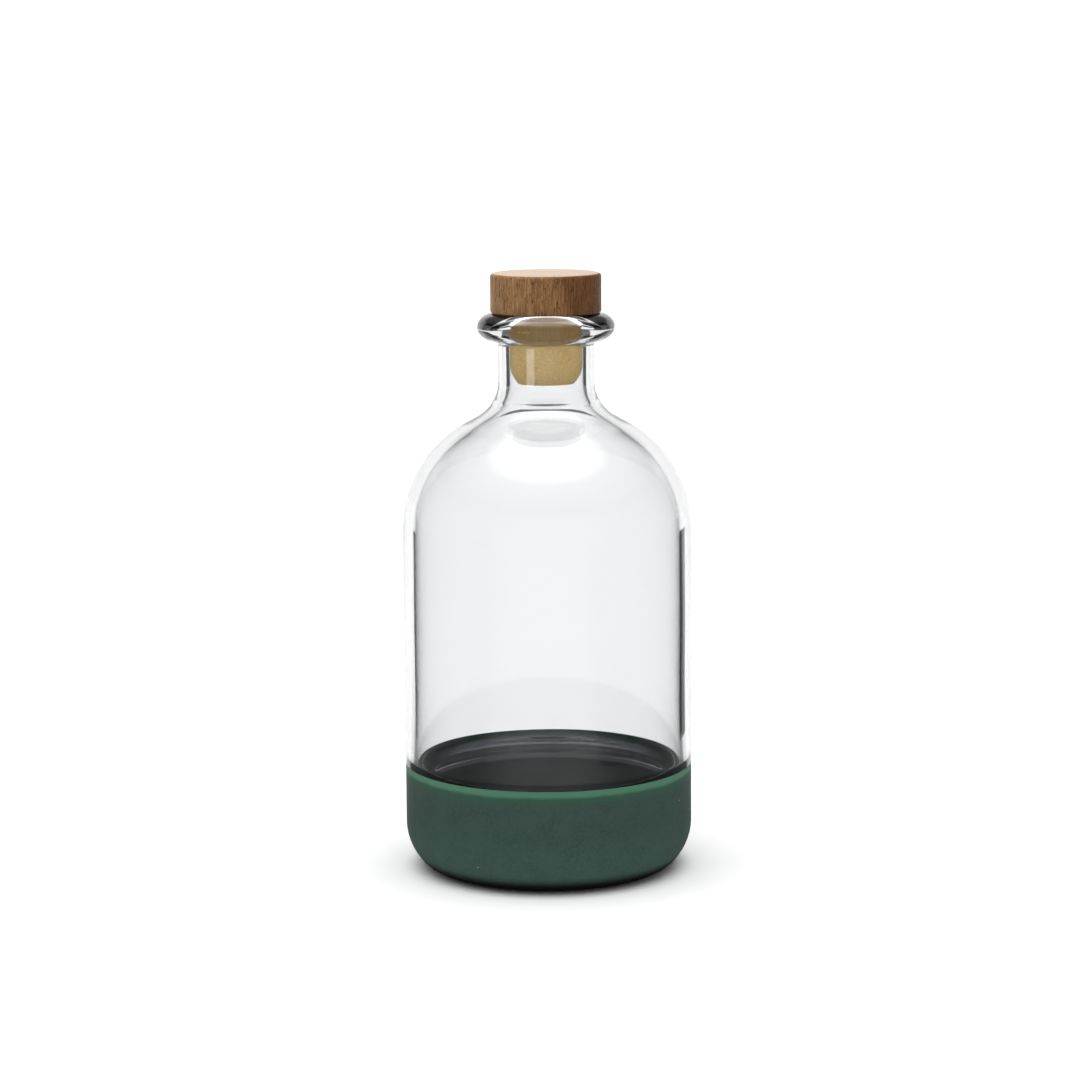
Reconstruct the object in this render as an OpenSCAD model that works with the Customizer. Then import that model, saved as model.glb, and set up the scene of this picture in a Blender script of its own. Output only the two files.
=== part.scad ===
// Apothecary bottle with a rubber-coated foot and a wooden-headed stopper.
// Millimetres. +Z is up, the foot stands on z = 0 and every piece is round about the Z axis.

/* [Glass body] */
// Outer diameter of the body
body_d = 76.5; // [72:0.5:80]
// Thickness of the body wall
wall_t = 3.0; // [1.8:0.1:3.2]
// Height of the cavity's floor, on top of the heavy glass base
floor_z = 25.4; // [18:0.1:32]
// Radius of the round between the cavity's floor and its wall
floor_round = 4.8; // [3:0.1:8]
// Height at which the shoulder starts to curve in
shoulder_z = 91; // [84:0.5:93]
// Radius of the shoulder's curve
shoulder_r = 32; // [28:0.5:33]

/* [Neck and lip] */
// Outer diameter of the neck
neck_d = 25.3; // [24.5:0.1:26]
// Inner diameter of the neck below the seat
neck_bore_d = 19.7; // [19.7:0.1:22]
// Radius of the hollow curve from the shoulder into the neck
neck_curve_r = 11; // [9:0.5:11.5]
// Height at which the neck starts to widen into the shoulder
neck_base_z = 130.5; // [130:0.5:133]
// Height of the lip's flat top
mouth_z = 148.5; // [146:0.5:154]
// Outer diameter of the rolled lip
lip_d = 36.3; // [34:0.1:38]
// Height of the rolled lip
lip_h = 7.6; // [6.4:0.1:8.4]
// Width of the lip's oval, from its nose to its crest
lip_reach = 5.3; // [4.8:0.1:5.5]
// Radial gap between the stopper's shank and the seat that guides it
seat_gap = 0.05; // [0.01:0.01:0.1]
// Height of the seat, the narrow bore at the top of the mouth
seat_h = 5.8; // [5:0.1:7]

/* [Rubber foot] */
// Height of the coated foot
coat_h = 28.4; // [20:0.1:36]
// Thickness of the coat
coat_t = 0.6; // [0.4:0.1:1]
// Height over which the coat thins towards its rim
coat_taper_h = 2.2; // [1.5:0.1:4]
// Thickness left at the coat's rim
coat_rim_t = 0.1; // [0.1:0.05:0.2]
// Radius of the heel's upper curve
heel_upper_r = 15; // [12:0.5:18]
// Radius of the heel's lower curve
heel_lower_r = 8; // [6:0.5:10]
// Radius of the hollow under the foot
punt_r = 20; // [14:0.5:24]
// Depth of the hollow under the foot
punt_h = 2.5; // [1:0.1:4]

/* [Stopper] */
// Diameter of the wooden head
head_d = 29.2; // [27:0.1:32]
// Height of the wooden head
head_h = 10.3; // [8:0.1:14]
// Rounding of the head's top edge
head_top_round = 1.0; // [0.5:0.1:2]
// Rounding of the head's lower edge
head_low_round = 0.5; // [0.2:0.1:1]
// Diameter of the shank
shank_d = 19.2; // [18.4:0.1:19.4]
// Length of the shank below the head
shank_l = 18.6; // [14:0.1:20]
// Height of the shank's rounded nose
nose_h = 5.4; // [3:0.1:7]
// How far the nose draws in
nose_in = 2.3; // [1:0.1:2.8]
// Diameter of the spigot that the head is glued to
spigot_d = 12; // [8:0.5:14]
// Length of the spigot
spigot_l = 4; // [3:0.5:6]
// Thickness of the glue around and above the spigot
glue_t = 0.2; // [0.1:0.05:0.4]

/* [Hidden] */

round_fn = 128;
fine = 12;
heel_split = 40;
// The heavy base ends just above the cavity's floor, so that the glass solids keep a blunt edge there.
base_split_z = floor_z + 0.8;

body_r = body_d / 2;
neck_r = neck_d / 2;
neck_bore_r = neck_bore_d / 2;
shank_r = shank_d / 2;
seat_r = shank_r + seat_gap;
seat_low_z = mouth_z - mouth_round() - seat_h;
spigot_r = spigot_d / 2;
recess_r = spigot_r + glue_t;
recess_z = mouth_z + spigot_l + glue_t;

// The round at the mouth's inner edge reaches from the seat to the lip's flat top.
function mouth_round() = 1.2;

// Points along an arc, as [radius, height] pairs, with its own reach in each direction.
function oval(c, reach_r, reach_z, from, to, steps = fine) =
    [for (i = [0 : steps]) c + oval_point(reach_r, reach_z, from + (to - from) * i / steps)];
function oval_point(reach_r, reach_z, a) = [reach_r * cos(a), reach_z * sin(a)];
function arc(c, r, from, to, steps = fine) = oval(c, r, r, from, to, steps);
function reversed(points) = [for (i = [len(points) - 1 : -1 : 0]) points[i]];

// Shoulder and neck: two arcs and the straight line that touches both.
shoulder_c = [body_r - shoulder_r, shoulder_z];
neck_curve_c = [neck_r + neck_curve_r, neck_base_z];
function slope_angle(r1, r2, d = neck_curve_c - shoulder_c) =
    atan2(d[1], d[0]) - acos((r1 + r2) / norm(d));
function shoulder_line(r1, r2, a) = concat(
    arc(shoulder_c, r1, 0, a, 2 * fine),
    arc(neck_curve_c, r2, 180 + a, 180)
);
function outer_shoulder(r1 = shoulder_r, r2 = neck_curve_r) =
    shoulder_line(r1, r2, slope_angle(r1, r2));
function inner_shoulder() = outer_shoulder(
    shoulder_r - wall_t,
    neck_curve_r + neck_r - neck_bore_r
);

// Foot: hollow, contact ring and a heel of two arcs, set in by t from the coat's outside.
heel_c = [body_r - heel_upper_r, heel_lower_r + (heel_upper_r - heel_lower_r) * sin(heel_split)];
heel_low_c = heel_c + (heel_upper_r - heel_lower_r) * [cos(heel_split), -sin(heel_split)];
punt_arc_r = (punt_r * punt_r + punt_h * punt_h) / (2 * punt_h);
punt_angle = asin(punt_r / punt_arc_r);
function foot_line(t) = concat(
    arc([0, punt_h - punt_arc_r + t], punt_arc_r, 90, 90 - punt_angle),
    arc(heel_low_c, heel_lower_r - t, -90, -heel_split),
    arc(heel_c, heel_upper_r - t, -heel_split, 0)
);

// Lip: an oval bead with a small hollow curve under it and a flat crest.
lip_c = [lip_d / 2 - lip_reach, mouth_z - lip_h / 2];
lip_fillet = 1;
lip_root_r = neck_r + lip_fillet;
lip_root = [lip_root_r, lip_c[1] - lip_h / 2 * sin(acos((lip_root_r - lip_c[0]) / lip_reach))];
function lip_line() = concat(
    arc(lip_root - [0, lip_fillet], lip_fillet, 180, 90, 6),
    oval(lip_c, lip_reach, lip_h / 2, -75, 90, 2 * fine)
);
function mouth_line() = concat(
    arc([seat_r + mouth_round(), mouth_z - mouth_round()], mouth_round(), 90, 180, 6),
    [[seat_r, seat_low_z], [neck_bore_r, seat_low_z - 1.2]]
);
function cavity_line() = concat(
    reversed(inner_shoulder()),
    arc([body_r - wall_t - floor_round, floor_z + floor_round], floor_round, 0, -90),
    [[0, floor_z]]
);

module turned(points) {
    rotate_extrude($fn = round_fn) polygon(points);
}

// The glass is one moulding, drawn as its heavy base, its straight body, and its shoulder, neck and lip.
module glass(low, high) {
    intersection() {
        turned(concat(
            foot_line(coat_t),
            [[body_r - coat_t, coat_h - coat_taper_h], [body_r - coat_rim_t, coat_h], [body_r, coat_h]],
            outer_shoulder(),
            lip_line(),
            mouth_line(),
            cavity_line()
        ));
        translate([0, 0, low]) cylinder(h = high - low, r = body_d, $fn = round_fn);
    }
}

module glass_base() {
    color([0.80, 0.87, 0.85, 0.5]) glass(-1, base_split_z);
}

module glass_body() {
    color([0.86, 0.91, 0.90, 0.4]) glass(base_split_z, shoulder_z);
}

module glass_shoulder() {
    color([0.88, 0.93, 0.92, 0.4]) glass(shoulder_z, mouth_z + 1);
}

module rubber_base() {
    color([0.22, 0.33, 0.28]) turned(concat(
        foot_line(0),
        [[body_r, coat_h], [body_r - coat_rim_t, coat_h], [body_r - coat_t, coat_h - coat_taper_h]],
        reversed(foot_line(coat_t))
    ));
}

module stopper_head() {
    head_r = head_d / 2;
    head_top = mouth_z + head_h;
    color([0.60, 0.44, 0.31]) turned(concat(
        [[recess_r, recess_z], [recess_r, mouth_z]],
        arc([head_r - head_low_round, mouth_z + head_low_round], head_low_round, -90, 0, 4),
        arc([head_r - head_top_round, head_top - head_top_round], head_top_round, 0, 90, 6),
        [[0, head_top], [0, recess_z]]
    ));
}

module stopper_shank() {
    nose_arc_r = (nose_h * nose_h + nose_in * nose_in) / (2 * nose_in);
    shank_low = mouth_z - shank_l;
    nose_c = [shank_r - nose_arc_r, shank_low + nose_h];
    color([0.72, 0.62, 0.45]) turned(concat(
        [[0, shank_low]],
        arc(nose_c, nose_arc_r, -asin(nose_h / nose_arc_r), 0),
        [[shank_r, mouth_z], [spigot_r, mouth_z]],
        [[spigot_r, mouth_z + spigot_l], [0, mouth_z + spigot_l]]
    ));
}

module glue_film() {
    color([0.90, 0.84, 0.68]) turned([
        [spigot_r, mouth_z],
        [recess_r, mouth_z],
        [recess_r, recess_z],
        [0, recess_z],
        [0, mouth_z + spigot_l],
        [spigot_r, mouth_z + spigot_l]
    ]);
}

glass_base();
glass_body();
glass_shoulder();
rubber_base();
stopper_head();
stopper_shank();
glue_film();
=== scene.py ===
"""Apothecary bottle with a rubber foot and a wooden-headed stopper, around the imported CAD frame.

Every piece is turned about the Z axis. The lengths below are in millimetres and repeat the design's own
driving dimensions; the outer sizes come from the frame. The lathe turns each outline into a smooth mesh in
metres. Colours are linear RGB.
"""
import math

import bpy
from mathutils import Matrix, Vector, noise


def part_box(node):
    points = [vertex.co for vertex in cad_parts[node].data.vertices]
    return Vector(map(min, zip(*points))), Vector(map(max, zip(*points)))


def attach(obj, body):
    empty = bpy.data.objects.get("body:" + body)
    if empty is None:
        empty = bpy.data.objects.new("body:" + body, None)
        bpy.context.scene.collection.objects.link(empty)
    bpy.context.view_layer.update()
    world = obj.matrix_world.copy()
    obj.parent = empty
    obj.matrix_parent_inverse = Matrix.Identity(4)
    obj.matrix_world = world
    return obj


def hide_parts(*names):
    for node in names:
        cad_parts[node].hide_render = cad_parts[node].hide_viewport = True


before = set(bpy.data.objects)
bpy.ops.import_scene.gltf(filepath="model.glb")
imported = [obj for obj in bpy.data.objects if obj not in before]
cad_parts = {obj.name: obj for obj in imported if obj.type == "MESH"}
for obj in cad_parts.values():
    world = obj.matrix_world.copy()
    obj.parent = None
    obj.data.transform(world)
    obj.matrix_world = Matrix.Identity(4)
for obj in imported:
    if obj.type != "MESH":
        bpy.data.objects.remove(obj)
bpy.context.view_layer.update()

MM = 0.001
TURN_STEPS = 192
ARC_STEP = 2.5  # degrees


def box_mm(node):
    """A node's outer radius, lowest and highest height, in millimetres."""
    low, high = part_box(node)
    return high.x / MM, low.z / MM, high.z / MM


BODY_R, _, MOUTH_Z = box_mm("glass_shoulder")
_, _, COAT_H = box_mm("rubber_base")
HEAD_R, HEAD_LOW, HEAD_TOP = box_mm("stopper_head")
SHANK_R, SHANK_LOW, SPIGOT_TOP = box_mm("stopper_shank")

# Glass
GLASS_NODES = ("glass_base", "glass_body", "glass_shoulder")
WALL_T = 3.0
FLOOR_Z = 25.4
FLOOR_ROUND = 4.8
SHOULDER_Z = 91.0
SHOULDER_R = 32.0
NECK_R = 12.65
NECK_BORE_R = 9.85
NECK_CURVE_R = 11.0
NECK_BASE_Z = 130.5
LIP_R = 18.15
LIP_H = 7.6
LIP_REACH = 5.3
LIP_FILLET = 1.0
MOUTH_ROUND = 1.2
SEAT_GAP = 0.05
SEAT_H = 5.8
SEAT_R = SHANK_R + SEAT_GAP
SEAT_LOW_Z = MOUTH_Z - MOUTH_ROUND - SEAT_H
SEAT_CONE_H = 1.2
LIP_START = -75.0  # degrees, where the lip's oval leaves the small curve under it

# The small unevenness of blown glass
RIPPLE_MM = 0.022
RIPPLE_R = 29.0  # the ripple dies out towards the floor's round
WALL_WAVE_MM = 0.035
CALM_H = 25.0  # the wall's wave grows to its full size over this height above the floor's round
NECK_RING_Z = 127.4
NECK_RING_MM = 0.035
NECK_RING_GAP = 3.4
PARTING_Z = 125.2
PARTING_MM = 0.10

# Foot
COAT_T = 0.6
COAT_RIM_T = 0.1
COAT_TAPER_H = 2.2
COAT_BITE = 0.03  # how far the coat reaches into the glass, so that no air lies between them
HEEL_UPPER_R = 15.0
HEEL_LOWER_R = 8.0
HEEL_SPLIT = 40.0
PUNT_R = 20.0
PUNT_H = 2.5

# Stopper
HEAD_TOP_ROUND = 1.0
HEAD_LOW_ROUND = 0.5
NOSE_H = 5.4
NOSE_IN = 2.3
SPIGOT_R = 6.0
GLUE_T = 0.2


# ------------------------------------------------ outlines, as (radius, height) in millimetres
def oval(centre, reach_r, reach_z, start, end):
    steps = max(3, round(abs(end - start) / ARC_STEP))
    angles = (math.radians(start + (end - start) * i / steps) for i in range(steps + 1))
    return [(centre[0] + reach_r * math.cos(a), centre[1] + reach_z * math.sin(a)) for a in angles]


def arc(centre, r, start, end):
    return oval(centre, r, r, start, end)


def fine(outline, step=2.5, end=0.35, straight=3.6):
    """The outline with points added along its straight runs, and close to their ends, so that smooth normals
    bend only beside a corner."""
    result = [outline[0]]
    for start, stop in zip(outline, outline[1:]):
        length = math.dist(start, stop)
        if length > straight:
            n = max(1, round(length / step))
            at = [end / length] + [i / n for i in range(1, n)] + [1 - end / length]
            result += [tuple(s + (e - s) * t for s, e in zip(start, stop)) for t in at]
        result.append(stop)
    return result


def shoulder(r1, r2):
    """Shoulder and neck curve: two arcs and the straight line that touches both."""
    c1 = (BODY_R - SHOULDER_R, SHOULDER_Z)
    c2 = (NECK_R + NECK_CURVE_R, NECK_BASE_Z)
    turn = math.degrees(math.atan2(c2[1] - c1[1], c2[0] - c1[0]) - math.acos((r1 + r2) / math.dist(c1, c2)))
    return arc(c1, r1, 0, turn) + arc(c2, r2, 180 + turn, 180)


def foot(t):
    """Hollow, contact ring and heel, set in by t from the coat's outside."""
    rise = HEEL_UPPER_R - HEEL_LOWER_R
    split = math.radians(HEEL_SPLIT)
    upper = (BODY_R - HEEL_UPPER_R, HEEL_LOWER_R + rise * math.sin(split))
    lower = (upper[0] + rise * math.cos(split), HEEL_LOWER_R)
    punt_arc_r = (PUNT_R**2 + PUNT_H**2) / (2 * PUNT_H)
    punt_turn = math.degrees(math.asin(PUNT_R / punt_arc_r))
    return (
        arc((0, PUNT_H - punt_arc_r + t), punt_arc_r, 90, 90 - punt_turn)
        + arc(lower, HEEL_LOWER_R - t, -90, -HEEL_SPLIT)
        + arc(upper, HEEL_UPPER_R - t, -HEEL_SPLIT, 0)
    )


def glass_outline():
    lip = (LIP_R - LIP_REACH, MOUTH_Z - LIP_H / 2)
    root_r = NECK_R + LIP_FILLET
    root_z = lip[1] - LIP_H / 2 * math.sin(math.acos((root_r - lip[0]) / LIP_REACH))
    inner = shoulder(SHOULDER_R - WALL_T, NECK_CURVE_R + NECK_R - NECK_BORE_R)
    corner_r = BODY_R - WALL_T - FLOOR_ROUND
    outside = (
        foot(COAT_T)
        + [(BODY_R - COAT_T, COAT_H - COAT_TAPER_H), (BODY_R - COAT_RIM_T, COAT_H), (BODY_R, COAT_H)]
        + shoulder(SHOULDER_R, NECK_CURVE_R)
        + arc((root_r, root_z - LIP_FILLET), LIP_FILLET, 180, 90)
        + oval(lip, LIP_REACH, LIP_H / 2, LIP_START, 90)
    )
    inside = (
        arc((SEAT_R + MOUTH_ROUND, MOUTH_Z - MOUTH_ROUND), MOUTH_ROUND, 90, 180)
        + [(SEAT_R, SEAT_LOW_Z), (NECK_BORE_R, SEAT_LOW_Z - SEAT_CONE_H)]
        + inner[::-1]
        + arc((corner_r, FLOOR_Z + FLOOR_ROUND), FLOOR_ROUND, 0, -90)
    )
    floor = fine([(corner_r, FLOOR_Z), (0, FLOOR_Z)], 1.5)
    return fine(outside), fine(inside) + floor


def coat_outline():
    bite = COAT_T + COAT_BITE
    return (
        foot(0)
        + [(BODY_R, COAT_H), (BODY_R - COAT_RIM_T, COAT_H), (BODY_R - bite, COAT_H - COAT_TAPER_H)]
        + foot(bite)[::-1]
    )


def head_outline():
    recess_r = SPIGOT_R + GLUE_T
    recess_z = SPIGOT_TOP + GLUE_T
    return (
        [(0, recess_z), (recess_r, recess_z), (recess_r, HEAD_LOW)]
        + arc((HEAD_R - HEAD_LOW_ROUND, HEAD_LOW + HEAD_LOW_ROUND), HEAD_LOW_ROUND, -90, 0)
        + arc((HEAD_R - HEAD_TOP_ROUND, HEAD_TOP - HEAD_TOP_ROUND), HEAD_TOP_ROUND, 0, 90)
        + [(0, HEAD_TOP)]
    )


def shank_outline():
    nose_r = (NOSE_H**2 + NOSE_IN**2) / (2 * NOSE_IN)
    turn = math.degrees(math.asin(NOSE_H / nose_r))
    return (
        [(0, SHANK_LOW)]
        + arc((SHANK_R - nose_r, SHANK_LOW + NOSE_H), nose_r, -turn, 0)
        + [(SHANK_R, HEAD_LOW), (SPIGOT_R, HEAD_LOW), (SPIGOT_R, SPIGOT_TOP), (0, SPIGOT_TOP)]
    )


# ------------------------------------------------ lathe
def turned(name, outline, shape=None, sharp=35.0):
    """A closed solid of revolution, whose outline starts and ends on the axis. shape moves a point in mm."""
    verts, rings = [], []
    for i, (r, z) in enumerate(outline):
        if i and math.dist(outline[i - 1], (r, z)) < 1e-6:
            continue
        count = 1 if r < 1e-6 else TURN_STEPS
        rings.append((len(verts), count))
        for k in range(count):
            a = 2 * math.pi * k / TURN_STEPS
            p = (r * math.cos(a), r * math.sin(a), z)
            verts.append(shape(p) if shape else p)
    faces = []
    for (a0, an), (b0, bn) in zip(rings, rings[1:]):
        for k in range(TURN_STEPS):
            j = (k + 1) % TURN_STEPS
            if an == 1:
                faces.append((a0, b0 + j, b0 + k))
            elif bn == 1:
                faces.append((a0 + k, a0 + j, b0))
            else:
                faces.append((a0 + k, a0 + j, b0 + j, b0 + k))
    mesh = bpy.data.meshes.new(name)
    mesh.from_pydata([[c * MM for c in v] for v in verts], [], faces)
    mesh.polygons.foreach_set("use_smooth", [True] * len(mesh.polygons))
    mesh.set_sharp_from_angle(angle=math.radians(sharp))
    mesh.validate()
    piece = bpy.data.objects.new(name, mesh)
    bpy.context.scene.collection.objects.link(piece)
    return piece


def plate(name, size, matrix):
    """A flat rectangle of the studio: the floor or the strip."""
    w, h = size[0] / 2, size[1] / 2
    mesh = bpy.data.meshes.new(name)
    mesh.from_pydata([(-w, -h, 0), (w, -h, 0), (w, h, 0), (-w, h, 0)], [], [(0, 1, 2, 3)])
    piece = bpy.data.objects.new(name, mesh)
    piece.matrix_world = matrix
    bpy.context.scene.collection.objects.link(piece)
    return piece


# ------------------------------------------------ materials
def material(name):
    """A new node material, its tree and its Principled shader."""
    m = bpy.data.materials.new(name)
    m.use_nodes = True
    return m, m.node_tree, m.node_tree.nodes["Principled BSDF"]


def put(tree, socket, value):
    """Link a socket's value, or set it."""
    if isinstance(value, bpy.types.NodeSocket):
        tree.links.new(value, socket)
    elif value is not None:
        socket.default_value = value


def node(tree, kind, *inputs, **settings):
    """A node with its settings, and its first inputs linked or set in order."""
    n = tree.nodes.new(kind)
    for key, value in settings.items():
        setattr(n, key, value)
    for socket, value in zip(n.inputs, inputs):
        put(tree, socket, value)
    return n


def calc(tree, operation, *inputs):
    return node(tree, "ShaderNodeMath", *inputs, operation=operation).outputs[0]


def times(tree, *inputs):
    return calc(tree, "MULTIPLY", *inputs)


def between(tree, value, low, high):
    """0 below low, 1 above high, smooth between them. It falls instead where low is above high."""
    n = node(tree, "ShaderNodeMapRange", value, low, high, 0.0, 1.0, interpolation_type="SMOOTHSTEP")
    return n.outputs[0]


def mix(tree, fac, a, b, blend="MIX"):
    n = node(tree, "ShaderNodeMix", data_type="RGBA", blend_type=blend)
    put(tree, n.inputs[0], fac)
    put(tree, n.inputs[6], rgba(a))
    put(tree, n.inputs[7], rgba(b))
    return n.outputs[2]


def rgba(value):
    return (*value, 1.0) if isinstance(value, tuple) and len(value) == 3 else value


def grain(tree, size, detail=2.0, roughness=0.5, distortion=0.0):
    """Noise whose features are size = (x, y, z) millimetres across, or one number for all three."""
    size = size if isinstance(size, tuple) else (size,) * 3
    where = node(tree, "ShaderNodeTexCoord").outputs["Object"]
    scale = tuple(1.0 / (MM * d) for d in size)
    scaled = node(tree, "ShaderNodeVectorMath", where, scale, operation="MULTIPLY")
    n = node(tree, "ShaderNodeTexNoise")
    put(tree, n.inputs["Vector"], scaled.outputs[0])
    put(tree, n.inputs["Scale"], 1.0)
    put(tree, n.inputs["Detail"], detail)
    put(tree, n.inputs["Roughness"], roughness)
    put(tree, n.inputs["Distortion"], distortion)
    return n.outputs[0]


def bump(tree, shader, height, depth_mm, strength=1.0):
    n = node(tree, "ShaderNodeBump")
    put(tree, n.inputs["Strength"], strength)
    put(tree, n.inputs["Distance"], depth_mm * MM)
    put(tree, n.inputs["Height"], height)
    tree.links.new(n.outputs[0], shader.inputs["Normal"])


def place_mm(tree):
    """The object's own coordinates, as a vector and its x, y and z, in millimetres."""
    where = node(tree, "ShaderNodeTexCoord").outputs["Object"]
    scaled = node(tree, "ShaderNodeVectorMath", where, (1 / MM,) * 3, operation="MULTIPLY").outputs[0]
    return scaled, *node(tree, "ShaderNodeSeparateXYZ", scaled).outputs


def facing_in(tree, centre_z):
    """1 on the faces of a shell that look at a point on the axis, 0 on those that look away."""
    coord = node(tree, "ShaderNodeTexCoord")
    centre = (0, 0, centre_z * MM)
    away = node(tree, "ShaderNodeVectorMath", coord.outputs["Object"], centre, operation="SUBTRACT")
    dot = node(tree, "ShaderNodeVectorMath", coord.outputs["Normal"], away.outputs[0], operation="DOT_PRODUCT")
    return calc(tree, "LESS_THAN", dot.outputs["Value"], 0.0)


def specks(tree, cell_mm, radius_mm, share):
    """Scattered round dots: one cell in every 1 / share holds a dot."""
    where, *_ = place_mm(tree)
    cells = node(tree, "ShaderNodeTexVoronoi", where, None, 1.0 / cell_mm)
    near = calc(tree, "LESS_THAN", cells.outputs["Distance"], radius_mm / cell_mm)
    lot = node(tree, "ShaderNodeSeparateColor", cells.outputs["Color"]).outputs[0]
    return times(tree, near, calc(tree, "LESS_THAN", lot, share))


def clear_glass():
    """Clear soda glass, polished, with the faintest haze of handling. Painted shade: the cavity's upright wall
    is darkened by viewing angle where it is seen edge-on, which deepens the dark line along it."""
    mat, tree, shader = material("clear_glass")
    polished, handled, painted_edge_shade = (0.924, 0.930, 0.936), (0.918, 0.925, 0.931), (0.08, 0.09, 0.10)
    wall_low = FLOOR_Z + FLOOR_ROUND
    _, _, _, z = place_mm(tree)
    smudge = between(tree, grain(tree, (14, 14, 9), 3.0, 0.6), 0.52, 0.75)
    # Painted shade: a near-black tint by viewing angle on the cavity's upright wall, for the dark line along
    # it.
    facing = node(tree, "ShaderNodeLayerWeight", 0.5).outputs["Facing"]
    edge = times(tree, between(tree, facing, 0.66, 0.98), facing_in(tree, 70.0))
    edge = times(tree, edge, between(tree, z, wall_low + 1.0, wall_low + 9.0))
    edge = times(tree, edge, between(tree, z, MOUTH_Z - 4.0, MOUTH_Z - 9.0))
    clear = mix(tree, edge, polished, painted_edge_shade)
    hazy = mix(tree, edge, handled, painted_edge_shade)
    put(tree, shader.inputs["Base Color"], mix(tree, smudge, clear, hazy))
    put(tree, shader.inputs["Roughness"], times(tree, smudge, 0.012))
    shader.inputs["Transmission Weight"].default_value = 1.0
    shader.inputs["IOR"].default_value = 1.52
    return mat


def green_rubber():
    """Matte rubber with fine dust, nearly black where it is bonded to the glass. Painted light: greener and
    paler where it thins at the rim, for light coming through it, and lighter low down for the floor's bounce.
    Painted
    shadow: nearly black under the heel."""
    mat, tree, shader = material("green_rubber")
    painted_heel_shadow, bonded_low, bonded_rim_painted_light = (0.004, 0.006, 0.005), (0.010, 0.012, 0.012), (0.045, 0.120, 0.080)
    _, _, _, z = place_mm(tree)
    rim_z = calc(tree, "ADD", z, calc(tree, "MULTIPLY_ADD", grain(tree, 9), 0.9, -0.45))
    patches = between(tree, grain(tree, 6, 4.0, 0.6), 0.3, 0.7)
    speckle = between(tree, grain(tree, 0.5, 3.0), 0.35, 0.7)
    green = mix(tree, patches, (0.040, 0.072, 0.061), (0.049, 0.086, 0.072))
    green = mix(tree, speckle, green, (0.055, 0.095, 0.080))
    # Painted light: lighter towards the bottom, for the light bounced up from the floor.
    lower = times(tree, between(tree, z, 17.0, 5.0), 0.8)
    green = mix(tree, lower, green, (1.30, 1.36, 1.36), "MULTIPLY")
    # Painted light: paler, brighter green at the thin rim, for light that comes through the thin coat from the
    # glass.
    green = mix(tree, between(tree, rim_z, COAT_H - 4.6, COAT_H - 1.2), green, (0.036, 0.115, 0.072))
    green = mix(tree, between(tree, rim_z, COAT_H - 2.3, COAT_H - 1.1), green, (0.088, 0.230, 0.145))
    # Painted shadow: nearly black at the bottom of the heel, for the contact shadow under it.
    green = mix(tree, between(tree, z, 5.0, 1.6), green, painted_heel_shadow)
    dusty = mix(tree, specks(tree, 3.1, 0.13, 0.07), green, (0.5, 0.55, 0.52))
    # Painted light: the bonded side also turns paler green towards the rim, for the same light through it.
    bonded = mix(tree, between(tree, z, COAT_H - 2.6, COAT_H - 0.6), bonded_low, bonded_rim_painted_light)
    put(tree, shader.inputs["Base Color"], mix(tree, facing_in(tree, 30.0), dusty, bonded))
    put(tree, shader.inputs["Roughness"], calc(tree, "MULTIPLY_ADD", grain(tree, 2, 3.0), 0.16, 0.48))
    shader.inputs["Sheen Weight"].default_value = 0.03
    shader.inputs["Sheen Roughness"].default_value = 0.4
    shader.inputs["Specular IOR Level"].default_value = 0.08
    bump(tree, shader, grain(tree, 0.22, 2.0), 0.012)
    return mat


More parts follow.
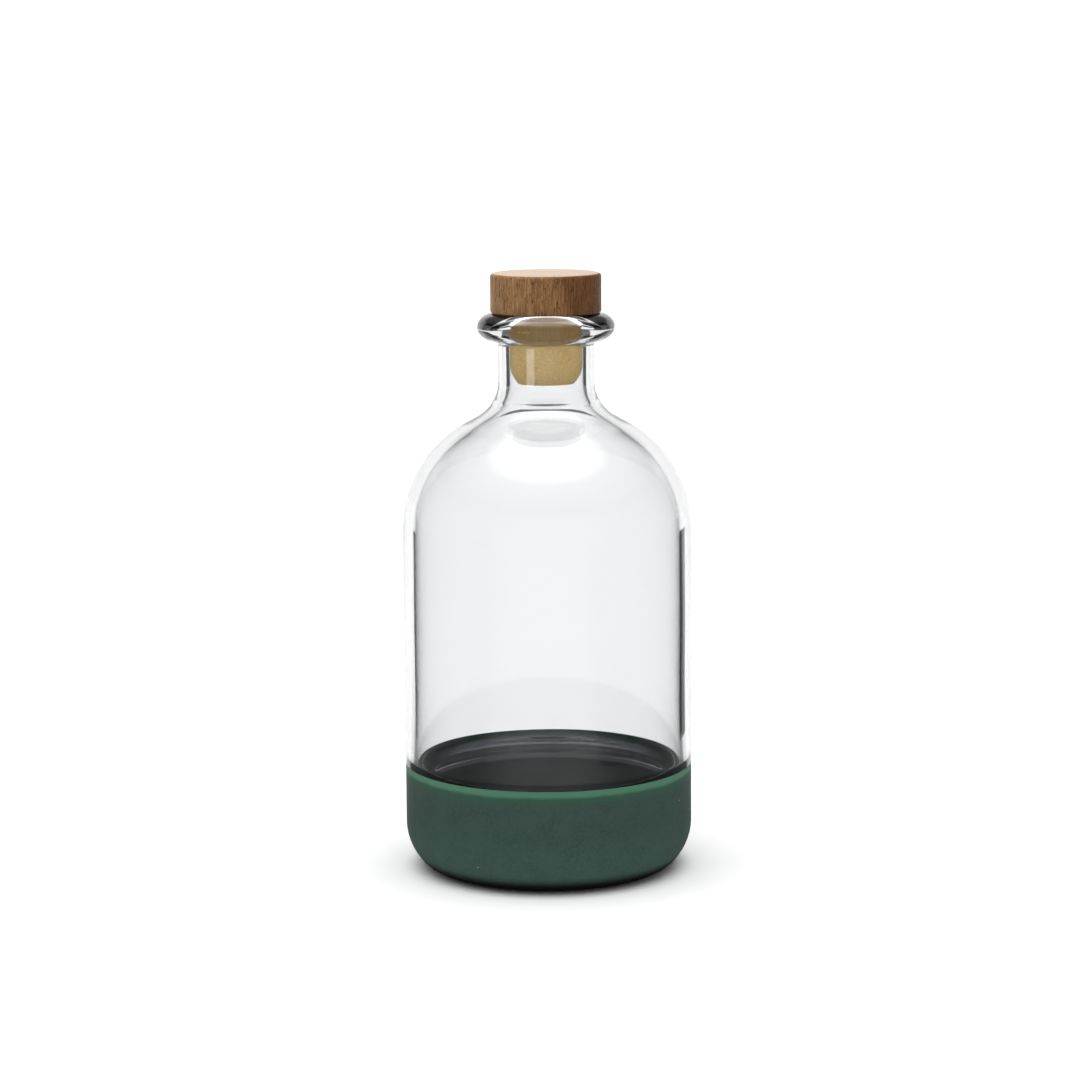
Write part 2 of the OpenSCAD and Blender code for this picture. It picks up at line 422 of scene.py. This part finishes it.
def beech_wood():
    """Beech with its grain upright: growth rings, fine streaks, dark flecks, darker towards +X, lighter and
    paler towards -X, and open end grain on top, painted pale with a sheen of the overhead light."""
    mat, tree, shader = material("beech")
    pith = (-46.0, -31.0)  # the tree's centre lies well outside the turned disc
    _, x, y, _ = place_mm(tree)
    from_x, from_y = calc(tree, "SUBTRACT", x, pith[0]), calc(tree, "SUBTRACT", y, pith[1])
    pith_r = calc(tree, "SQRT", calc(tree, "MULTIPLY_ADD", from_x, from_x, times(tree, from_y, from_y)))
    ring_r = calc(tree, "MULTIPLY_ADD", grain(tree, (7, 7, 40)), 2.6, pith_r)
    rings = calc(tree, "MULTIPLY_ADD", calc(tree, "SINE", times(tree, ring_r, 2.4)), 0.5, 0.5)
    streaks = grain(tree, (0.32, 0.32, 5.0), 4.0, 0.65)
    dark_flecks = between(tree, grain(tree, (0.30, 0.30, 1.5), 1.0, 0.5, 0.3), 0.63, 0.71)
    pale_flecks = between(tree, grain(tree, (0.22, 0.22, 0.8), 1.0), 0.66, 0.74)
    wood = mix(tree, between(tree, streaks, 0.30, 0.70), (0.150, 0.070, 0.027), (0.475, 0.245, 0.096))
    wood = mix(tree, times(tree, rings, 0.30), wood, (0.185, 0.090, 0.036))
    wood = mix(tree, dark_flecks, wood, (0.050, 0.022, 0.010))
    wood = mix(tree, pale_flecks, wood, (0.50, 0.29, 0.13))
    # Darker towards +X, and lighter and paler towards -X.
    plus_x_reach = calc(tree, "MULTIPLY_ADD", grain(tree, (5, 5, 14), 3.0), 16.0, calc(tree, "ADD", x, -8.0))
    darker_to_plus_x = times(tree, between(tree, plus_x_reach, -4.0, 11.0), 0.85)
    wood = mix(tree, darker_to_plus_x, wood, (0.42, 0.34, 0.26), "MULTIPLY")
    wood = mix(tree, between(tree, x, -3.0, -11.0), wood, (1.14, 1.24, 1.42), "MULTIPLY")
    normal = node(tree, "ShaderNodeTexCoord").outputs["Normal"]
    top = between(tree, node(tree, "ShaderNodeSeparateXYZ", normal).outputs[2], 0.84, 0.99)
    pores = between(tree, grain(tree, (0.2, 0.2, 30.0), 2.0), 0.58, 0.66)
    # The top's end grain with its pores, painted pale: partly its own colour, partly a painted sheen of the
    # overhead light.
    end_grain_and_sheen = mix(tree, pores, (0.72, 0.52, 0.32), (0.44, 0.27, 0.14))
    end_grain_and_sheen = mix(tree, times(tree, rings, 0.35), end_grain_and_sheen, (0.42, 0.26, 0.15))
    put(tree, shader.inputs["Base Color"], mix(tree, times(tree, top, 0.85), wood, end_grain_and_sheen))
    side_rough = calc(tree, "MULTIPLY_ADD", streaks, -0.25, 0.62)
    put(tree, shader.inputs["Roughness"], calc(tree, "MULTIPLY_ADD", top, -0.26, side_rough))
    shader.inputs["Specular IOR Level"].default_value = 0.15
    bump(tree, shader, calc(tree, "ADD", streaks, times(tree, pores, times(tree, top, -0.6))), 0.05, 0.6)
    return mat


def synthetic_cork():
    """The cork-coloured moulded shank: fine speckle under a soft sheen, with painted shade near the top, where
    the lip and the head keep light from it.
    """
    mat, tree, shader = material("synthetic_cork")
    _, _, _, z = place_mm(tree)
    speckle = grain(tree, 0.35, 3.0, 0.6)
    cloud = grain(tree, 4, 2.0)
    tan = mix(tree, between(tree, speckle, 0.32, 0.68), (0.80, 0.50, 0.150), (0.99, 0.72, 0.300))
    tan = mix(tree, times(tree, between(tree, cloud, 0.35, 0.7), 0.30), tan, (1.0, 0.78, 0.36))
    tan = mix(tree, specks(tree, 1.3, 0.17, 0.30), tan, (0.46, 0.28, 0.10))
    tan = mix(tree, specks(tree, 0.8, 0.10, 0.22), tan, (1.0, 0.90, 0.62))
    # Painted shade: darker and browner near the mouth, where the lip and the head keep light from it.
    painted_mouth_shade = between(tree, calc(tree, "MULTIPLY_ADD", cloud, 1.6, z), MOUTH_Z - 7.2, MOUTH_Z - 4.6)
    put(tree, shader.inputs["Base Color"], mix(tree, painted_mouth_shade, tan, (0.40, 0.33, 0.20), "MULTIPLY"))
    put(tree, shader.inputs["Roughness"], calc(tree, "MULTIPLY_ADD", speckle, 0.2, 0.40))
    shader.inputs["Specular IOR Level"].default_value = 0.25
    bump(tree, shader, speckle, 0.03, 0.7)
    return mat


def wood_glue():
    """Cured glue round the spigot."""
    mat, tree, shader = material("wood_glue")
    amber = mix(tree, grain(tree, 1, 3.0), (0.72, 0.58, 0.32), (0.52, 0.38, 0.19))
    put(tree, shader.inputs["Base Color"], amber)
    put(tree, shader.inputs["Roughness"], calc(tree, "MULTIPLY_ADD", grain(tree, 0.6), 0.3, 0.25))
    bump(tree, shader, grain(tree, 0.8, 2.0), 0.03)
    return mat


# ------------------------------------------------ pieces
def place(piece, mat, body, cad_nodes):
    """Give a piece its material, the body that it rides on and the CAD nodes that it replaces."""
    piece.data.materials.append(mat)
    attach(piece, body)
    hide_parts(*cad_nodes)


def hump(z, centre, width):
    return math.exp(-(((z - centre) / width) ** 2))


def blown(p):
    """A glass point, in millimetres, with the unevenness of blown glass: rippled floor, wavy wall, rings in
    the neck and a faint parting line."""
    x, y, z = p
    r = math.hypot(x, y)
    if r < 1e-6:
        return (x, y, z + RIPPLE_MM * noise.noise(Vector((3.1, 7.7, 0.0))))
    grow = 0.0
    inner = z > FLOOR_Z - 0.01 and r < inner_radius(z) + 0.02
    if inner and z < FLOOR_Z + FLOOR_ROUND:
        swirl = noise.noise(Vector((x / 11.0 + 3.1, y / 5.0 + 7.7, 0.0)))
        rings = math.sin(r / 1.55 + 2.2 * noise.noise(Vector((x / 19.0, y / 19.0, 5.0))))
        fade = max(0.0, 1.0 - (r / RIPPLE_R) ** 4)
        z += RIPPLE_MM * fade * (swirl + 0.45 * rings * min(1.0, r / 8.0))
    elif inner and z < MOUTH_Z - 12:
        turn = math.atan2(y, x)
        calm = min(1.0, (z - FLOOR_Z - FLOOR_ROUND) / CALM_H)
        around = Vector((2.2 * math.cos(turn), 2.2 * math.sin(turn), z / 26.0))
        grow = WALL_WAVE_MM * calm * noise.noise(around)
        grow -= NECK_RING_MM * hump(z, NECK_RING_Z, 0.55)
        grow -= 0.5 * NECK_RING_MM * hump(z, NECK_RING_Z - NECK_RING_GAP, 0.5)
    elif COAT_H < z < NECK_BASE_Z:
        grow = PARTING_MM * hump(z, PARTING_Z, 0.3)
    k = (r + grow) / r
    return (x * k, y * k, z)


outside, inside = glass_outline()
bore = sorted((z, r) for r, z in inside)


def inner_radius(z):
    """The cavity's radius at a height, from its own outline."""
    for (z0, r0), (z1, r1) in zip(bore, bore[1:]):
        if z0 <= z <= z1:
            return r0 if z1 - z0 < 1e-6 else r0 + (r1 - r0) * (z - z0) / (z1 - z0)
    return bore[-1][1]


bottle_glass = turned("bottle_glass", outside + inside, blown)
foot_coat = turned("foot_coat", fine(coat_outline()))
head_wood = turned("head_wood", fine(head_outline()))
shank_cork = turned("shank_cork", fine(shank_outline()))
place(bottle_glass, clear_glass(), "bottle", GLASS_NODES)
place(foot_coat, green_rubber(), "bottle", ("rubber_base",))
place(head_wood, beech_wood(), "stopper", ("stopper_head",))
place(shank_cork, synthetic_cork(), "stopper", ("stopper_shank",))
glue = wood_glue()
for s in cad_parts["glue_film"].material_slots:
    s.material = glue


# ------------------------------------------------ studio
scene = bpy.context.scene
scene.view_settings.view_transform = "Standard"

FLOOR_WHITE = 0.90
FLOOR_WHITE_SEEN = 1.04  # to the camera, so that the floor meets the backdrop without a line
BACKDROP = 1.05
SIDE_DARK = (43.0, 50.0)  # degrees from straight behind, where the dark sides begin
SIDE_FRONT = (115.0, 165.0)  # degrees from straight behind, over which half the light comes back


def rays(tree):
    return node(tree, "ShaderNodeLightPath").outputs


def grey(level):
    return (level,) * 3


def side_level(tree, x, y):
    """What the glass's own surfaces mirror: white behind the bottle, dark at its sides, half light before."""
    turn = calc(tree, "ABSOLUTE", calc(tree, "ARCTAN2", x, y))
    dark = between(tree, turn, *map(math.radians, SIDE_DARK))
    front = between(tree, turn, *map(math.radians, SIDE_FRONT))
    level = calc(tree, "MULTIPLY_ADD", dark, -0.85, 1.0)
    level = calc(tree, "MULTIPLY_ADD", front, 0.30, level)
    path = rays(tree)
    in_wall = calc(tree, "LESS_THAN", path["Transmission Depth"], 2.5)
    mirrored = times(tree, in_wall, calc(tree, "GREATER_THAN", path["Glossy Depth"], 0.5))
    return mix(tree, mirrored, grey(1.0), level)


def white_floor():
    """The floor's matte white, which the wall's reflections see darkened to the sides."""
    mat, tree, shader = material("floor_white")
    _, x, y, _ = place_mm(tree)
    white = mix(tree, rays(tree)["Is Camera Ray"], grey(FLOOR_WHITE), grey(FLOOR_WHITE_SEEN))
    put(tree, shader.inputs["Base Color"], mix(tree, 1.0, white, side_level(tree, x, y), "MULTIPLY"))
    shader.inputs["Roughness"].default_value = 0.9
    shader.inputs["Specular IOR Level"].default_value = 0.1
    return mat


floor = plate("floor", (8.0, 8.0), Matrix.Identity(4))
floor.data.materials.append(white_floor())

# Greys that follow the height of a direction, as (height, level) pairs. 0 is the horizon and 1 is overhead.
ROOM = ((0.42, 0.30), (0.60, 0.34), (0.80, 0.95), (0.90, 2.9), (1.0, 3.3))
SWEEP = ((0.0, 1.0), (0.33, 1.0)) + ROOM
TALL_SWEEP = ((0.0, 1.0), (0.66, 1.0), (0.80, 0.5), (0.90, 2.9), (1.0, 3.3))
LOW_SWEEP = (
    (0.0, 0.14), (0.170, 0.14), (0.195, 0.03), (0.42, 0.03),
    (0.60, 0.34), (0.80, 1.6), (0.90, 2.2), (1.0, 1.6),
)
LIGHT = ((0.0, 0.12), (0.12, 0.14), (0.33, 0.28)) + ROOM


def ramp(tree, height, levels):
    """A grey that follows the height of the direction."""
    n = node(tree, "ShaderNodeValToRGB", height)
    while len(n.color_ramp.elements) < len(levels):
        n.color_ramp.elements.new(0.5)
    for element, (at, level) in zip(n.color_ramp.elements, levels):
        element.position = at
        element.color = (*grey(level), 1)
    return n.outputs["Color"]


def studio_world():
    """A white sweep up to a low height all round, a dim room above it and a soft light overhead, which gives
    most of the light. Rays that only pass through the glass see a taller sweep, and the reflection in the
    cavity's floor sees a low, dark one. The camera itself sees plain white."""
    world = bpy.data.worlds.new("studio")
    world.use_nodes = True
    tree = world.node_tree
    direction = node(tree, "ShaderNodeTexCoord").outputs["Generated"]
    x, y, height = node(tree, "ShaderNodeSeparateXYZ", direction).outputs
    path = rays(tree)
    twice_through = calc(tree, "GREATER_THAN", path["Transmission Depth"], 3.5)
    floor_mirror = times(tree, twice_through, calc(tree, "GREATER_THAN", path["Glossy Depth"], 0.5))
    through = calc(tree, "LESS_THAN", path["Glossy Depth"], 0.5)
    sharp = calc(tree, "MAXIMUM", path["Is Glossy Ray"], path["Is Transmission Ray"])
    sides = mix(tree, between(tree, height, 0.60, 0.40), grey(1.0), side_level(tree, x, y))
    sweep = mix(tree, 1.0, ramp(tree, height, SWEEP), sides, "MULTIPLY")
    sweep = mix(tree, through, sweep, ramp(tree, height, TALL_SWEEP))
    cool_low = mix(tree, 1.0, ramp(tree, height, LOW_SWEEP), (0.92, 1.02, 1.08), "MULTIPLY")
    seen_in_glass = mix(tree, floor_mirror, sweep, cool_low)
    light = tree.nodes["Background"]
    put(tree, light.inputs["Color"], mix(tree, sharp, ramp(tree, height, LIGHT), seen_in_glass))
    backdrop = node(tree, "ShaderNodeBackground", (1, 1, 1, 1), BACKDROP)
    seen = node(tree, "ShaderNodeMixShader", path["Is Camera Ray"], light.outputs[0], backdrop.outputs[0])
    put(tree, tree.nodes["World Output"].inputs["Surface"], seen.outputs[0])
    return world


scene.world = studio_world()


def area(name, at, target, size, watts):
    """A rectangular light, aimed at a point and hidden from the glass."""
    data = bpy.data.lights.new(name, "AREA")
    data.shape = "RECTANGLE"
    data.size, data.size_y = size
    data.energy = watts
    lamp = bpy.data.objects.new(name, data)
    lamp.location = at
    lamp.rotation_euler = (Vector(target) - Vector(at)).to_track_quat("-Z", "Y").to_euler()
    lamp.visible_glossy = False
    lamp.visible_transmission = False
    scene.collection.objects.link(lamp)


area("left_box", at=(-0.9, -0.3, 1.1), target=(0, 0, 0.08), size=(1.0, 1.0), watts=1.3)


def shown_where(name, mask, kind, *inputs):
    """A material that shows one shader where mask(tree) is 1 and is clear elsewhere."""
    mat = bpy.data.materials.new(name)
    mat.use_nodes = True
    tree = mat.node_tree
    tree.nodes.remove(tree.nodes["Principled BSDF"])
    clear = node(tree, "ShaderNodeBsdfTransparent").outputs[0]
    shown = node(tree, kind, *inputs).outputs[0]
    both = node(tree, "ShaderNodeMixShader", mask(tree), clear, shown)
    put(tree, tree.nodes["Material Output"].inputs["Surface"], both.outputs[0])
    return mat


# A low bright strip beside the camera, seen only as the lighter band that it leaves in the neck and the lip:
# rays that reach it from the shoulder are shorter, and pass.
STRIP_TURN = -38.0  # degrees from the camera, about the bottle
STRIP_DISTANCE = 0.70
STRIP_NEAREST = STRIP_DISTANCE - 0.016  # the shortest ray that sees it
STRIP_Z = 0.065
STRIP_SIZE = (0.235, 0.075)
STRIP_GLOW = 4.2


def from_neck(tree):
    return calc(tree, "GREATER_THAN", rays(tree)["Ray Length"], STRIP_NEAREST)


strip_at = (
    Matrix.Rotation(math.radians(STRIP_TURN), 4, "Z")
    @ Matrix.Translation((0, -STRIP_DISTANCE, STRIP_Z))
    @ Matrix.Rotation(math.radians(90), 4, "X")
)
strip = plate("strip", STRIP_SIZE, strip_at)
strip_white = shown_where("strip_white", from_neck, "ShaderNodeEmission", (1, 1, 1, 1), STRIP_GLOW)
strip.data.materials.append(strip_white)
strip.visible_camera = False
strip.visible_diffuse = False
strip.visible_transmission = False
strip.visible_shadow = False

# Black cards lie on the floor behind and before the bottle, to both sides, and draw the dark line along its
# inner wall. Only rays that have gone through one thickness of the wall, and not through the cavity, meet
# them. Each card: its side, its first and last turn in degrees, and how near and how far it lies in metres.
CARD_Z = 0.0004
CARDS = (
    (1, 29.0, 60.0, 0.18, 0.75),
    (-1, 38.0, 60.0, 0.18, 0.75),
    (1, 44.0, 72.0, 0.75, 2.6),
    (-1, 44.0, 72.0, 0.75, 2.6),
)


def through_one_wall(tree):
    return calc(tree, "COMPARE", rays(tree)["Transmission Depth"], 2.0, 0.5)


def from_wall(turn, distance):
    """The point that a ray leaving the inner wall's edge reaches, turned by an angle in degrees."""
    a = math.radians(turn)
    r = (BODY_R - WALL_T) * MM
    return (r * math.cos(a) + distance * math.sin(a), -r * math.sin(a) + distance * math.cos(a))


card_verts, card_faces = [], []
for back in (1, -1):
    for side, first, last, near, far in CARDS:
        corners = [from_wall(*c) for c in ((first, near), (last, near), (last, far), (first, far))]
        card_faces.append(tuple(range(len(card_verts), len(card_verts) + 4)))
        card_verts += [(side * x, back * y, CARD_Z) for x, y in corners]
card_mesh = bpy.data.meshes.new("cards")
card_mesh.from_pydata(card_verts, [], card_faces)
card_black = shown_where("card_black", through_one_wall, "ShaderNodeBsdfDiffuse", (0.02, 0.02, 0.02, 1))
card_mesh.materials.append(card_black)
cards = bpy.data.objects.new("cards", card_mesh)
scene.collection.objects.link(cards)
cards.visible_camera = False
cards.visible_diffuse = False
cards.visible_glossy = False
cards.visible_shadow = False

# The camera: distance and height of the lens from the bottle's foot, its pitch and its small roll.
CAM_BACK = 0.8369
CAM_UP = 0.2206
CAM_SIDE = -0.00192
CAM_PITCH = 9.01
CAM_ROLL = -0.377
CAM_SENSOR = 36.0
CAM_LENS = 106.4
cam_data = bpy.data.cameras.new("camera")
cam_data.sensor_width = CAM_SENSOR
cam_data.lens = CAM_LENS
cam = bpy.data.objects.new("camera", cam_data)
cam.matrix_world = (
    Matrix.Translation((CAM_SIDE, -CAM_BACK, CAM_UP))
    @ Matrix.Rotation(math.radians(90 - CAM_PITCH), 4, "X")
    @ Matrix.Rotation(math.radians(CAM_ROLL), 4, "Z")
)
scene.collection.objects.link(cam)
scene.camera = cam
